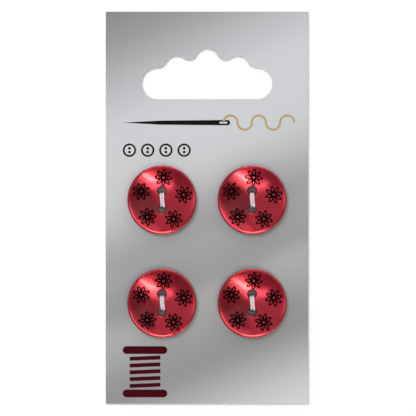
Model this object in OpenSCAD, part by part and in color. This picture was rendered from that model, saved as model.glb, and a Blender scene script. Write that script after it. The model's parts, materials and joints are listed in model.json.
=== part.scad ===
// A hanging card that carries four two-hole buttons, each sewn on with a double strand of thread.
// The card lies on its back: +Z leaves its printed front, +Y points at the hanging slot.
// The origin is under the card's centre, where the knots on its back touch the table.

/* [Card] */
// Width of the card
card_w = 50; // [46:0.5:60]
// Height of the card
card_h = 96.8; // [92:0.2:120]
// Thickness of the board
card_t = 0.5; // [0.3:0.05:1.2]
// Height of card that the places down from the top edge are drawn for
layout_h = 96.8; // [92:0.2:104]

/* [Hanging slot] */
// Overall width of the slot
slot_w = 32.3; // [31:0.1:36]
// From the card's top edge down to the slot's straight lower edge
slot_drop = 21.6; // [18:0.1:26]
// Radius of the slot's two round ends
slot_end_r = 3.85; // [3.5:0.05:4.1]
// Radius of the two side lobes
side_lobe_r = 2.85; // [2.6:0.05:3.1]
// Side lobes, from the slot's middle
side_lobe_x = 7.5; // [7:0.1:8]
// Side lobes, above the slot's lower edge
side_lobe_y = 7.75; // [7.3:0.05:8.2]
// Radius of the middle lobe, which a display hook sits in
hook_lobe_r = 2.87; // [2.6:0.01:3.1]
// Middle lobe, above the slot's lower edge
hook_lobe_y = 9.55; // [9:0.05:10.2]
// Radius of the rounded shoulder between an end and a side lobe
shoulder_r = 2.4; // [2:0.1:2.8]
// Radius of the rounded bump between a side lobe and the middle lobe
bump_r = 2.1; // [1.8:0.1:2.4]

/* [Buttons on the card] */
// Between the two columns of buttons
column_pitch = 22.2; // [18:0.1:27]
// Between the two rows of buttons
row_pitch = 25.4; // [18:0.1:30]
// From the card's top edge down to the first row
first_row = 46.5; // [42:0.1:56]

/* [Button] */
// Diameter of a button
button_d = 17; // [16.4:0.1:18]
// Thickness at the bridge between the two holes
bridge_t = 1.9; // [1.5:0.1:2.6]
// Radius of the hollow of the face
dish_r = 30; // [24:1:45]
// Radius of the rounded rim
rim_r = 0.3; // [0.25:0.05:0.7]
// Height that the rim stands above the run of the hollow
rim_lift = 0.045; // [0.02:0.005:0.06]
// Radius of the hollow corner inside the rim
lip_r = 0.8; // [0.3:0.05:1]
// Diameter of the flat on the back
back_d = 11.2; // [9:0.1:12.6]
// Diameter of a hole
hole_d = 2.1; // [1.9:0.05:2.4]
// Between the two holes
hole_pitch = 4.45; // [3.9:0.05:5]
// Broken edge at both ends of a hole
hole_edge = 0.25; // [0.1:0.05:0.3]

/* [Daisies] */
// Daisies on a button
daisies = 5; // [3:1:5]
// Bare ring between the daisies and the rim
daisy_margin = 0.18; // [0.05:0.01:0.4]
// Turn of the first daisy, from +X
daisy_turn = 85.6; // [0:0.1:90]
// Petals on a daisy
petals = 8; // [6:1:9]
// From a daisy's middle to the tip of a petal
petal_reach = 2.16; // [1.9:0.02:2.3]
// Width of a petal at its round tip
petal_w = 0.9; // [0.7:0.02:0.94]
// From a daisy's middle to the middle of a petal's round root
petal_root = 0.62; // [0.56:0.02:0.7]
// Width of a petal at its root
petal_root_w = 0.52; // [0.48:0.02:0.6]
// From a daisy's middle to the start of a petal's bare middle
petal_bare = 0.78; // [0.74:0.02:1]
// Width of the drawn line
daisy_line = 0.32; // [0.2:0.01:0.34]
// Radius of the bare dot in a daisy's middle
daisy_dot_r = 0.36; // [0.28:0.01:0.4]
// Width of the drawn ring round the bare dot
daisy_ring_w = 0.33; // [0.24:0.01:0.38]
// Height of the ink on the button
ink_t = 0.04; // [0.02:0.01:0.08]

/* [Thread] */
// Diameter of one strand
thread_d = 0.54; // [0.5:0.02:0.62]
// Air around the strands in the holes of the card
needle_gap = 0.05; // [0.03:0.01:0.1]
// Radius of the strands' bends
thread_bend = 0.45; // [0.4:0.01:0.5]
// Diameter of the knot
knot_d = 1.2; // [1:0.05:1.4]
// Length of the two cut ends
tail_l = 3.2; // [2:0.1:5]

/* [Printed motifs] */
// From the card's left edge to the motifs
motif_margin = 4.2; // [3:0.1:8]
// Height of the ink on the card
print_t = 0.04; // [0.02:0.01:0.08]
// Bare card left around the back of a button
print_gap = 0.3; // [0.1:0.1:1]
// Length of the printed needle
needle_l = 26.5; // [22:0.5:28]
// Width of the printed needle
needle_w = 1.3; // [1.1:0.05:1.6]
// Length of the needle's eye
eye_l = 2; // [1.6:0.1:2.4]
// Width of the needle's eye
eye_w = 0.5; // [0.4:0.05:0.6]
// Needle, below the card's top edge
needle_drop = 27.4; // [26.4:0.1:28]
// Radius of a wave of the printed thread
wave_r = 1.75; // [1.5:0.05:2]
// Waves of the printed thread
waves = 5; // [2:1:5]
// Width of the printed thread's line
wave_line = 0.5; // [0.4:0.05:0.6]
// Diameter of a printed small button
small_d = 3.3; // [2.6:0.1:3.6]
// Width of the ring of a printed small button
small_ring_w = 0.45; // [0.3:0.05:0.6]
// Diameter of a hole of a printed small button
small_hole_d = 0.66; // [0.5:0.02:0.7]
// Between the two holes of a printed small button
small_hole_pitch = 0.92; // [0.8:0.02:1]
// Between two printed small buttons
small_pitch = 4.5; // [4:0.1:5]
// Printed small buttons, below the card's top edge
small_drop = 34.2; // [33.5:0.1:34.6]
// Width of the printed spool's ends
spool_w = 11; // [9:0.5:14]
// Height of the printed spool
spool_h = 12.6; // [10:0.2:14]
// Thickness of the printed spool's ends
spool_end_t = 1.9; // [1.4:0.1:2.4]
// Width of the winding on the printed spool
winding_w = 7.6; // [6:0.2:8.6]
// Turns shown on the printed spool
turns = 5; // [3:1:6]
// Bare line between two printed turns
turn_gap = 0.4; // [0.3:0.05:0.5]
// From the card's bottom edge to the printed spool
spool_margin = 1.6; // [1:0.1:4]

/* [Hidden] */
$fn = 96;

// Signs of the four places, as [column, row]
upper_left = [-1, 0];
upper_right = [1, 0];
lower_left = [-1, 1];
lower_right = [1, 1];

// Heights of the stack, from the table up
knot_press = 0.2;
card_back_z = knot_d - knot_press;
card_front_z = card_back_z + card_t;
card_top_y = card_h / 2;

// The slot, the print at the top and the rows of buttons keep their share of the card's height
spread = card_h / layout_h;
over = 1;

// Centre of the arc of radius r that rounds the corner above two circles.
// A circle that the arc lies inside of is given a radius below zero.
function fillet_centre(c1, r1, c2, r2, r) =
    let (
        gap = norm(c2 - c1),
        x = (pow(r1 + r, 2) - pow(r2 + r, 2) + gap * gap) / (2 * gap),
        y = sqrt(pow(r1 + r, 2) - x * x),
        dir = (c2 - c1) / gap
    )
    c1 + x * dir + y * [dir[1], -dir[0]];

// The button's section: the hollow turns up into the rim, and the domed back runs smoothly into it
dish_z = bridge_t + dish_r;
rim_x = button_d / 2 - rim_r;
rim_z = dish_z - sqrt(pow(dish_r + rim_r, 2) - rim_x * rim_x) + rim_lift;
lip = fillet_centre([0, dish_z], -dish_r, [rim_x, rim_z], rim_r, lip_r);
dish_edge = [0, dish_z] + (lip - [0, dish_z]) * dish_r / (dish_r - lip_r);
lip_top = lip + ([rim_x, rim_z] - lip) * lip_r / (lip_r + rim_r);
// Neighbouring arcs bite this much into each other, so that they cross instead of touching
arc_bite = 0.0005;
back_r = back_d / 2;
dome_sum = rim_x * rim_x + rim_z * rim_z - back_r * back_r - rim_r * rim_r;
dome_lead = 4 * (rim_z * rim_z - rim_r * rim_r);
dome_rest = dome_sum * dome_sum - pow(2 * rim_r * back_r, 2);
dome_z = (4 * rim_z * dome_sum + sqrt(pow(4 * rim_z * dome_sum, 2) - 4 * dome_lead * dome_rest))
    / (2 * dome_lead);
dome_r = norm([back_r, dome_z]);
rim_bottom = ([rim_x, rim_z] * dome_r - [0, dome_z] * rim_r) / (dome_r - rim_r);

// The daisies' ring fits inside the rim
daisy_orbit = dish_edge[0] - daisy_margin - petal_reach;
petal_tip = petal_reach - petal_w / 2;

// The strands' places in the holes
strand_play = 0.02;
strand_x = thread_d / 2 + strand_play / 2;
strand_reach = hole_d / 2 - thread_d / 2 - strand_play;
function strand_y(x) = hole_pitch / 2 - sqrt(strand_reach * strand_reach - x * x);
needle_y = strand_y(strand_x);
needle_r = strand_x + thread_d / 2 + needle_gap;
strand_over_z = card_front_z + bridge_t + thread_d / 2 + 2 * strand_play;
strand_under_z = card_back_z - thread_d / 2 - strand_play;
thread_sides = 8;

// Corners of the two stitches, in the button's own frame with the heights of the stack.
// Each starts and ends inside the knot. The strands lie side by side and lean to the right.
beside = thread_d + strand_play;
left_top_x = -0.52 * thread_d;
left_middle_x = -0.42 * thread_d;
left_bottom_x = -0.08 * thread_d;
right_top_x = left_top_x + beside;
right_middle_x = left_middle_x + beside;
right_bottom_x = left_bottom_x + beside;
knot_y = knot_d / 4;
left_stitch = [
    [-strand_x, -knot_y, strand_under_z],
    [-strand_x, -needle_y, strand_under_z],
    [-strand_x, -needle_y, card_front_z],
    [left_bottom_x, -strand_y(left_bottom_x), strand_over_z],
    [left_middle_x, 0, strand_over_z],
    [left_top_x, strand_y(left_top_x), strand_over_z],
    [-strand_x, needle_y, card_front_z],
    [-strand_x, needle_y, strand_under_z],
    [-strand_x, knot_y, strand_under_z],
];
right_stitch = [
    [strand_x, -knot_y, strand_under_z],
    [strand_x, -needle_y, strand_under_z],
    [strand_x, -needle_y, card_front_z],
    [right_bottom_x, -strand_y(right_bottom_x), strand_over_z],
    [right_middle_x, 0, strand_over_z],
    [right_top_x, strand_y(right_top_x), strand_over_z],
    [strand_x, needle_y, card_front_z],
    [strand_x, needle_y, strand_under_z],
    [strand_x, knot_y, strand_under_z],
];

function unit(v) = v / norm(v);
function along(path, i) = unit(path[min(i + 1, len(path) - 1)] - path[max(i - 1, 0)]);

// Four points round the corner b between a and c
function corner(a, b, c, r) =
    let (
        back = min(r, 0.45 * norm(a - b)),
        on = min(r, 0.45 * norm(c - b)),
        from = b + back * unit(a - b),
        to = b + on * unit(c - b)
    )
    [for (i = [0:3]) let (t = i / 3) (1 - t) * (1 - t) * from + 2 * t * (1 - t) * b + t * t * to];

function rounded(path, r) = concat(
    [path[0]],
    [for (i = [1:len(path) - 2]) each corner(path[i - 1], path[i], path[i + 1], r)],
    [path[len(path) - 1]]
);

function ring(centre, ahead, side) =
    let (
        u = unit(side - (side * ahead) * ahead),
        w = cross(ahead, u)
    )
    [
        for (k = [0:thread_sides - 1])
            let (a = 360 * k / thread_sides)
                centre + thread_d / 2 * (cos(a) * u + sin(a) * w)
    ];

// A strand swept along a path that never runs along side
module strand(path, side) {
    n = thread_sides;
    last = len(path) - 1;
    points = [for (i = [0:last]) each ring(path[i], along(path, i), side)];
    walls = [
        for (i = [0:last - 1], k = [0:n - 1])
            let (a = i * n + k, b = i * n + (k + 1) % n)
                each [[a, b + n, b], [a, a + n, b + n]]
    ];
    start = [for (k = [0:n - 1]) k];
    end = [for (k = [n - 1:-1:0]) last * n + k];
    polyhedron(points, concat([start], walls, [end]));
}

module at_place(place) {
    translate([
        place[0] * column_pitch / 2,
        card_top_y - spread * (first_row + place[1] * row_pitch),
        0
    ])
        children();
}

// The slot's outline, with its lower edge on the X axis
module slot_outline() {
    end = [slot_w / 2 - slot_end_r, slot_end_r];
    lobe = [side_lobe_x, side_lobe_y];
    hook = [0, hook_lobe_y];
    shoulder = fillet_centre(end, slot_end_r, lobe, side_lobe_r, shoulder_r);
    bump = fillet_centre(lobe, side_lobe_r, hook, hook_lobe_r, bump_r);
    difference() {
        union() {
            polygon([[0, 0], [end[0], 0], end, shoulder, lobe, bump, hook]);
            mirror([1, 0])
                polygon([[0, 0], [end[0], 0], end, shoulder, lobe, bump, hook]);
            for (s = [-1, 1]) {
                translate([s * end[0], end[1]]) circle(slot_end_r);
                translate([s * lobe[0], lobe[1]]) circle(side_lobe_r);
            }
            translate(hook) circle(hook_lobe_r);
        }
        for (s = [-1, 1]) {
            translate([s * shoulder[0], shoulder[1]]) circle(shoulder_r);
            translate([s * bump[0], bump[1]]) circle(bump_r);
        }
    }
}

module card() {
    color([0.72, 0.72, 0.73])
        difference() {
            translate([0, 0, card_back_z])
                linear_extrude(card_t)
                    difference() {
                        square([card_w, card_h], center = true);
                        translate([0, card_top_y - spread * slot_drop]) slot_outline();
                    }
            for (place = [upper_left, upper_right, lower_left, lower_right], s = [-1, 1])
                at_place(place)
                    translate([0, s * needle_y, card_back_z - over])
                        cylinder(r = needle_r, h = card_t + 2 * over, $fn = 48);
        }
}

module button_section() {
    translate([rim_x, rim_z]) circle(rim_r);
    difference() {
        intersection() {
            translate([0, dome_z]) circle(dome_r - arc_bite);
            polygon([
                [0, 0], [rim_bottom[0], 0], rim_bottom, [rim_x, rim_z], lip_top, dish_edge,
                [0, dish_edge[1]]
            ]);
        }
        // The hollow ends where its corner arc starts
        intersection() {
            translate([0, dish_z]) circle(dish_r);
            polygon([[0, dish_z], [0, 0], [0, dish_z] + 1.1 * (dish_edge - [0, dish_z])]);
        }
        translate(lip) circle(lip_r + arc_bite);
    }
}

module button_hole() {
    translate([0, 0, -over]) cylinder(d = hole_d, h = bridge_t + 3 * over, $fn = 48);
    // The broken edges reach a little past the faces
    edge_over = 0.1;
    face_z = bridge_t + dish_r - sqrt(dish_r * dish_r - hole_pitch * hole_pitch / 4);
    translate([0, 0, face_z - hole_edge])
        cylinder(r1 = hole_d / 2, r2 = hole_d / 2 + hole_edge + edge_over, h = hole_edge + edge_over,
                 $fn = 48);
    translate([0, 0, -edge_over])
        cylinder(r1 = hole_d / 2 + hole_edge + edge_over, r2 = hole_d / 2, h = hole_edge + edge_over,
                 $fn = 48);
}

module button(place) {
    color([0.72, 0.14, 0.2])
        at_place(place)
            translate([0, 0, card_front_z])
                difference() {
                    rotate_extrude($fn = 144) button_section($fn = 720);
                    for (s = [-1, 1])
                        translate([0, s * hole_pitch / 2, 0]) button_hole();
                }
}

// End of a drop's straight side, just inside its circle of radius r so that line and arc cross.
// The two circles are gap apart and differ by growth in radius.
side_share = 0.96;
function side_point(x, r, growth, gap) =
    [x, 0] + side_share * r * [-growth / gap, sqrt(1 - pow(growth / gap, 2))];

// A drop along X: a round tip, and a root that is round or, with no radius, a point
module drop(root_x, root_r, tip_x, tip_r) {
    growth = tip_r - root_r;
    root = side_point(root_x, root_r, growth, tip_x - root_x);
    tip = side_point(tip_x, tip_r, growth, tip_x - root_x);
    translate([tip_x, 0]) circle(tip_r);
    if (root_r > 0) {
        translate([root_x, 0]) circle(root_r);
        polygon([[root[0], -root[1]], [tip[0], -tip[1]], tip, root]);
    } else
        polygon([[root_x, 0], [tip[0], -tip[1]], tip]);
}

module daisy() {
    difference() {
        union() {
            for (i = [0:petals - 1])
                rotate(360 * i / petals)
                    drop(petal_root, petal_root_w / 2, petal_tip, petal_w / 2);
            circle(daisy_dot_r + daisy_ring_w);
        }
        for (i = [0:petals - 1])
            rotate(360 * i / petals)
                drop(petal_bare, 0, petal_tip, petal_w / 2 - daisy_line);
        circle(daisy_dot_r);
    }
}

// The ink follows the hollow: the outlines are cut out of a thin shell that lies on it
module button_daisies(place) {
    color([0.06, 0.05, 0.05])
        at_place(place)
            translate([0, 0, card_front_z])
                intersection() {
                    difference() {
                        translate([0, 0, dish_z]) sphere(dish_r, $fn = 360);
                        translate([0, 0, dish_z]) sphere(dish_r - ink_t, $fn = 360);
                    }
                    translate([0, 0, bridge_t])
                        linear_extrude(rim_z)
                            difference() {
                                for (i = [0:daisies - 1])
                                    rotate(daisy_turn + 360 * i / daisies)
                                        translate([daisy_orbit, 0]) daisy();
                                for (s = [-1, 1])
                                    translate([0, s * hole_pitch / 2])
                                        circle(hole_d / 2 + hole_edge, $fn = 48);
                            }
                }
}

module knot() {
    difference() {
        translate([0, 0, knot_d / 2]) sphere(d = knot_d, $fn = 32);
        translate([-knot_d, -knot_d, card_back_z - strand_play]) cube(2 * knot_d);
    }
}

// A cut end: it leaves the knot level and drifts sideways
module tail(side) {
    start = knot_d / 3;
    drift = -side * tail_l / 8;
    strand(
        [
            [side * start, 0, strand_under_z - strand_play],
            [side * (start + 0.3 * tail_l), drift, strand_under_z],
            [side * (start + 0.7 * tail_l), 2.5 * drift, strand_under_z],
            [side * (start + tail_l), 3 * drift, strand_under_z],
        ],
        [0, 0, 1]
    );
}

module thread(place) {
    color([0.86, 0.83, 0.87])
        at_place(place)
            union() {
                strand(rounded(left_stitch, thread_bend), [1, 0, 0]);
                strand(rounded(right_stitch, thread_bend), [1, 0, 0]);
                knot();
                tail(-1);
                tail(1);
            }
}

// Ink on the card's front. It ends at the card's edges, and around the back of each button.
module on_card(x, y) {
    translate([0, 0, card_front_z])
        linear_extrude(print_t)
            difference() {
                intersection() {
                    translate([x, y]) children();
                    square([card_w, card_h], center = true);
                }
                for (place = [upper_left, upper_right, lower_left, lower_right])
                    at_place(place) circle(back_r + print_gap);
            }
}

motif_x = motif_margin - card_w / 2;
needle_print_y = card_top_y - spread * needle_drop;
eye_x = needle_l - needle_w / 2;
belly = [0.35 * needle_l, 0.38 * needle_w];

// The needle lies along X with its point at the origin
module needle_outline() {
    difference() {
        union() {
            polygon([[0, 0], [belly[0], -belly[1]], [eye_x, -needle_w / 2],
                     [eye_x, needle_w / 2], belly]);
            translate([eye_x, 0]) circle(needle_w / 2, $fn = 48);
        }
        translate([eye_x - eye_l / 2, 0]) {
            translate([-eye_l / 2 + eye_w / 2, -eye_w / 2]) square([eye_l - eye_w, eye_w]);
            for (s = [-1, 1])
                translate([s * (eye_l - eye_w) / 2, 0]) circle(eye_w / 2, $fn = 48);
        }
    }
}

// Half rings that swing up and down in turn, from the needle's eye on
module wave_outline() {
    for (i = [0:waves - 1])
        translate([eye_x - eye_l / 2 + (2 * i + 1) * wave_r, 0])
            mirror([0, i % 2])
                intersection() {
                    difference() {
                        circle(wave_r + wave_line / 2);
                        circle(wave_r - wave_line / 2);
                    }
                    translate([-2 * wave_r, 0]) square([4 * wave_r, 2 * wave_r]);
                }
}

module printed_needle() {
    color([0.12, 0.1, 0.09])
        on_card(motif_x, needle_print_y)
            difference() {
                needle_outline();
                wave_outline();
            }
}

module printed_thread() {
    color([0.66, 0.56, 0.4])
        on_card(motif_x, needle_print_y) wave_outline();
}

module printed_small_buttons() {
    color([0.12, 0.1, 0.09])
        on_card(motif_x + small_d / 2, card_top_y - spread * small_drop)
            for (i = [0:3])
                translate([i * small_pitch, 0]) {
                    difference() {
                        circle(small_d / 2);
                        circle(small_d / 2 - small_ring_w);
                    }
                    for (s = [-1, 1])
                        translate([0, s * small_hole_pitch / 2])
                            circle(d = small_hole_d, $fn = 48);
                }
}

// The spool stands on the X axis, centred on Y, and its turns lean up to the right
module spool_outline() {
    turn_h = (spool_h - 2 * spool_end_t - (turns + 1) * turn_gap) / turns;
    lean = 0.25 * turn_h;
    side = winding_w / 2;
    for (y = [spool_end_t / 2, spool_h - spool_end_t / 2])
        translate([0, y]) {
            square([spool_w - spool_end_t, spool_end_t], center = true);
            for (s = [-1, 1])
                translate([s * (spool_w - spool_end_t) / 2, 0]) circle(spool_end_t / 2);
        }
    for (i = [0:turns - 1])
        translate([0, spool_end_t + turn_gap + i * (turn_h + turn_gap)])
            intersection() {
                polygon([[-side, 0], [side, lean], [side, turn_h], [-side, turn_h - lean]]);
                translate([0, turn_h / 2]) circle(side);
            }
}

module printed_spool() {
    color([0.35, 0.02, 0.09])
        on_card(motif_x + spool_w / 2, spool_margin - card_h / 2) spool_outline();
}

card();
button(upper_left);  // button_upper_left
button(upper_right);  // button_upper_right
button(lower_left);  // button_lower_left
button(lower_right);  // button_lower_right
button_daisies(upper_left);  // daisies_upper_left
button_daisies(upper_right);  // daisies_upper_right
button_daisies(lower_left);  // daisies_lower_left
button_daisies(lower_right);  // daisies_lower_right
thread(upper_left);  // thread_upper_left
thread(upper_right);  // thread_upper_right
thread(lower_left);  // thread_lower_left
thread(lower_right);  // thread_lower_right
printed_needle();
printed_thread();
printed_small_buttons();
printed_spool();
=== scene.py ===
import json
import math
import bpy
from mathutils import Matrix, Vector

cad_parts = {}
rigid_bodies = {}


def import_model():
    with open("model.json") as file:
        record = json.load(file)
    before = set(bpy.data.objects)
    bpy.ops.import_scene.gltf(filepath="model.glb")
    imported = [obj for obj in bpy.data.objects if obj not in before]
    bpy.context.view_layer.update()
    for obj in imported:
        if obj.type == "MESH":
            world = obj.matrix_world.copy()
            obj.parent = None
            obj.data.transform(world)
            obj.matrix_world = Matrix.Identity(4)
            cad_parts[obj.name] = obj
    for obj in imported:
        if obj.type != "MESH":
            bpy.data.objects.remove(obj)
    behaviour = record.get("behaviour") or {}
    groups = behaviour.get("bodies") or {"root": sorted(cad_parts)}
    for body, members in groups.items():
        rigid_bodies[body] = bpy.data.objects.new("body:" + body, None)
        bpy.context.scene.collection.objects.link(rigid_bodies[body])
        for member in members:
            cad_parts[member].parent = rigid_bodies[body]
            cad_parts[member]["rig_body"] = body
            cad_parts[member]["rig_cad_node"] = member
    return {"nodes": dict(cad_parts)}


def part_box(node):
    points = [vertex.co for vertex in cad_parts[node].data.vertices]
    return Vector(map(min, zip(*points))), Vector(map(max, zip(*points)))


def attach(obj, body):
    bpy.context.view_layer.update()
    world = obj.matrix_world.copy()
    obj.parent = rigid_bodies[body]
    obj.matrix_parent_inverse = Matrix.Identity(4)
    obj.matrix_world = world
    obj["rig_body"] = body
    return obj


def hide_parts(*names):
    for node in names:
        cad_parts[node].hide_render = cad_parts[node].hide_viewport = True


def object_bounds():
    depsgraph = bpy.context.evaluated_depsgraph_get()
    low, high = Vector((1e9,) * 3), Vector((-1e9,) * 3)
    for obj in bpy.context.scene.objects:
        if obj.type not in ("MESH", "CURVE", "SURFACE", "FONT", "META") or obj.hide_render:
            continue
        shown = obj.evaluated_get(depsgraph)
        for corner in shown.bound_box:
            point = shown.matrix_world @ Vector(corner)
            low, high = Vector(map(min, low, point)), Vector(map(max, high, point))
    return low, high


bl_info = {
    "name": "Card of buttons",
    "version": (1, 0, 0),
    "blender": (4, 5, 0),
    "location": "3D View > Sidebar > Button card",
    "description": "Dresses a silver hanging card that carries four sewn-on pearl buttons",
    "category": "Object",
}

import bmesh
import bpy
from bpy.props import FloatProperty, FloatVectorProperty, IntProperty, PointerProperty
from mathutils import Matrix, Vector

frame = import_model()

MM = 0.001
CAD_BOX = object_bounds()
CARD_LOW, CARD_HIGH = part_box("card")
PLACES = ("upper_left", "upper_right", "lower_left", "lower_right")
# Vertices nearer to each other than this are one
MERGE = 1e-6
# Length that one unit of a button's UV maps stands for
UV_SIZE = 20 * MM
PAPER_GRAIN = "Paper grain"


def button_seat(place):
    """Middle of a button's back, on the card's front"""
    low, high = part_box("button_" + place)
    return Vector(((low.x + high.x) / 2, (low.y + high.y) / 2, CARD_HIGH.z))


# Sizes and colours


def length(name, description, default):
    return FloatProperty(
        name=name, description=description, default=default, min=0, unit="LENGTH", precision=5
    )


def share(name, description, default):
    return FloatProperty(
        name=name, description=description, default=default, min=0, max=1, subtype="FACTOR"
    )


def in_degrees(name, description, default):
    return FloatProperty(
        name=name, description=description, default=math.radians(default), subtype="ANGLE"
    )


def colour(name, description, default):
    return FloatVectorProperty(
        name=name, description=description, default=default, min=0, max=1, subtype="COLOR"
    )


class ButtonCardBoard(bpy.types.PropertyGroup):
    """The hanging card"""

    edge_break: length("Edge break", "Width of the softened edge of the die-cut board", 0.00004)
    silver_tint: colour("Silver tint", "Colour that the silver print leans to", (0.92, 0.922, 1.0))
    silver_metal: share("Silver metal", "How much of the silver print reflects as metal", 0.2)
    silver_rough: share("Silver roughness", "Roughness of the silver print", 0.42)
    core: colour("Core", "Colour of the cut edge", (0.74, 0.73, 0.71))
    back: colour("Back", "Colour of the unprinted back", (0.72, 0.71, 0.69))


class ButtonCardButton(bpy.types.PropertyGroup):
    """One button; its size follows the frame's node"""

    bridge: length("Bridge", "Thickness between the two holes", 0.0019)
    dish_radius: length("Dish radius", "Radius of the hollow face", 0.030)
    rim_radius: length("Rim radius", "Radius of the rounded rim", 0.0003)
    rim_lift: length("Rim lift", "Height of the rim above the run of the hollow", 0.000045)
    lip_radius: length("Lip radius", "Radius of the hollow corner inside the rim", 0.0008)
    back_width: length("Back", "Diameter of the flat on the back", 0.0112)
    hole_width: length("Hole", "Diameter of a hole", 0.0021)
    hole_pitch: length("Hole pitch", "Between the two holes", 0.00445)
    hole_round: length("Hole rounding", "Rounded edge at both ends of a hole", 0.00025)
    resin: colour("Resin", "Red of the pearl resin", (0.50, 0.010, 0.033))
    pearl: colour("Pearl", "Lighter red of the pearl streaks", (0.62, 0.020, 0.050))
    shade: colour("Shade", "Darker red between the streaks", (0.34, 0.006, 0.021))


class ButtonCardDaisy(bpy.types.PropertyGroup):
    """The daisies printed round each button's hollow"""

    count: IntProperty(name="Daisies", description="Daisies round a button", default=5, min=3, max=5)
    petals: IntProperty(name="Petals", description="Petals on a daisy", default=8, min=6, max=9)
    turn: in_degrees("Turn", "Place of the first daisy, from the right", 85.6)
    orbit: length("Orbit", "From a button's middle to a daisy's middle", 0.005495)
    reach: length("Reach", "From a daisy's middle to the tip of a petal", 0.00226)
    petal: length("Petal", "Width of a petal at its widest", 0.00096)
    line: length("Line", "Width of a petal's outline", 0.00032)
    dot: length("Dot", "Radius of the bare dot in the middle", 0.0003)
    ring: length("Ring", "Radius of the inked ring round the dot", 0.00062)
    thickness: length("Ink", "Thickness of the ink", 0.00003)
    colour: colour("Colour", "Colour of the ink", (0.0015, 0.0007, 0.0006))


class ButtonCardThread(bpy.types.PropertyGroup):
    """The sewing thread"""

    width: length("Strand", "Diameter of one strand", 0.00054)
    lay: length("Lay", "Length of one turn of the twist", 0.0015)
    plies: IntProperty(name="Plies", description="Yarns twisted into a strand", default=3, min=2, max=4)
    bend: length("Bend", "Radius of the strand's bends", 0.00045)
    tail: length("Tail", "Length of the cut ends on the back", 0.0032)
    yarn: colour("Yarn", "Colour of the thread", (0.84, 0.79, 0.85))


class ButtonCardInk(bpy.types.PropertyGroup):
    """The printed inks"""

    dark: colour("Dark ink", "Ink of the needle and the small buttons", (0.004, 0.003, 0.002))
    gold: colour("Gold ink", "Ink of the printed thread", (0.42, 0.31, 0.15))
    maroon: colour("Maroon ink", "Ink of the spool", (0.05, 0.001, 0.005))


class ButtonCardStage(bpy.types.PropertyGroup):
    """Floor, lamps and camera"""

    view_width: length("View", "Width that the camera sees at the card's front", 0.1027)
    lens: FloatProperty(name="Lens", description="Focal length", default=250, min=1, unit="CAMERA")
    floor: colour("Floor", "Colour of the floor", (0.86, 0.86, 0.86))
    floor_size: length("Floor size", "Side of the square floor", 8)
    tent: share("Tent", "Level of the pale walls all round", 0.65)
    skirting: share("Skirting", "Level of the walls near the floor", 0.3)
    opening: share("Opening", "Level of the dark opening above, which the camera looks through", 0.2)
    opening_edge: in_degrees("Opening edge", "Tilt of the opening's edge, from straight up", 48)
    ceiling: length("Ceiling", "Height of the panes that the glossy buttons mirror", 0.6)


class ButtonCardSettings(bpy.types.PropertyGroup):
    """Everything that can be set for the card of buttons"""

    board: PointerProperty(type=ButtonCardBoard)
    button: PointerProperty(type=ButtonCardButton)
    daisy: PointerProperty(type=ButtonCardDaisy)
    thread: PointerProperty(type=ButtonCardThread)
    ink: PointerProperty(type=ButtonCardInk)
    stage: PointerProperty(type=ButtonCardStage)


# Helpers for meshes


def deselect():
    if bpy.context.object and bpy.context.object.mode != "OBJECT":
        bpy.ops.object.mode_set(mode="OBJECT")
    bpy.ops.object.select_all(action="DESELECT")


def pick(obj):
    deselect()
    obj.select_set(True)
    bpy.context.view_layer.objects.active = obj


def apply_modifier(obj, kind, **settings):
    pick(obj)
    modifier = obj.modifiers.new(kind.title(), kind)
    for key, value in settings.items():
        setattr(modifier, key, value)
    bpy.ops.object.modifier_apply(modifier=modifier.name)


def turned(name, profile, steps):
    """A closed body turned about Z: one corner of a plane is drawn along the profile and spun"""
    deselect()
    bpy.ops.mesh.primitive_plane_add(size=MM)
    obj = bpy.context.object
    obj.name = obj.data.name = name
    bpy.ops.object.mode_set(mode="EDIT")
    mesh = bmesh.from_edit_mesh(obj.data)
    mesh.verts.ensure_lookup_table()
    corner = mesh.verts[0].co.copy()
    for vert in mesh.verts:
        vert.select_set(vert.co != corner)
    mesh.select_flush(True)
    bpy.ops.mesh.delete(type="VERT")
    bpy.ops.mesh.select_all(action="SELECT")
    here = Vector((profile[0][0], 0, profile[0][1]))
    bpy.ops.transform.translate(value=here - corner)
    for radius, height in profile[1:]:
        there = Vector((radius, 0, height))
        bpy.ops.mesh.extrude_vertices_move(TRANSFORM_OT_translate={"value": there - here})
        here = there
    bpy.ops.mesh.select_all(action="SELECT")
    bpy.ops.mesh.spin(steps=steps, angle=math.tau, center=(0, 0, 0), axis=(0, 0, 1))
    bpy.ops.mesh.select_all(action="SELECT")
    bpy.ops.mesh.remove_doubles(threshold=MERGE)
    bpy.ops.mesh.dissolve_degenerate(threshold=MERGE)
    bpy.ops.mesh.select_all(action="SELECT")
    bpy.ops.mesh.normals_make_consistent(inside=False)
    bpy.ops.object.mode_set(mode="OBJECT")
    return obj


def smooth(obj, degrees):
    pick(obj)
    bpy.ops.object.shade_smooth_by_angle(angle=math.radians(degrees))


def dress(obj, node, slot, *materials):
    """Puts a piece in the frame with its materials"""
    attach(obj, "root")
    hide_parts(node)
    obj.data.materials.clear()
    for material in materials:
        obj.data.materials.append(material)


def set_copies(context, master, name, node, slot, material):
    """Sets a copy of a piece, each with its own mesh, at the four places and removes the first"""
    for place in PLACES:
        obj = master.copy()
        obj.data = master.data.copy()
        obj.name = obj.data.name = name + place
        obj.data.transform(Matrix.Translation(button_seat(place)))
        context.scene.collection.objects.link(obj)
        dress(obj, node + place, slot, material)
    bpy.data.objects.remove(master)


# Helpers for materials


def feed(tree, socket, value):
    """Gives a socket a plain value or another node's output"""
    if isinstance(value, bpy.types.NodeSocket):
        tree.links.new(value, socket)
    elif value is not None:
        socket.default_value = value


def add(tree, kind, settings=(), **inputs):
    made = tree.nodes.new(kind)
    for key, value in dict(settings).items():
        setattr(made, key, value)
    for key, value in inputs.items():
        feed(tree, made.inputs[key.replace("_", " ")], value)
    return made


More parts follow.
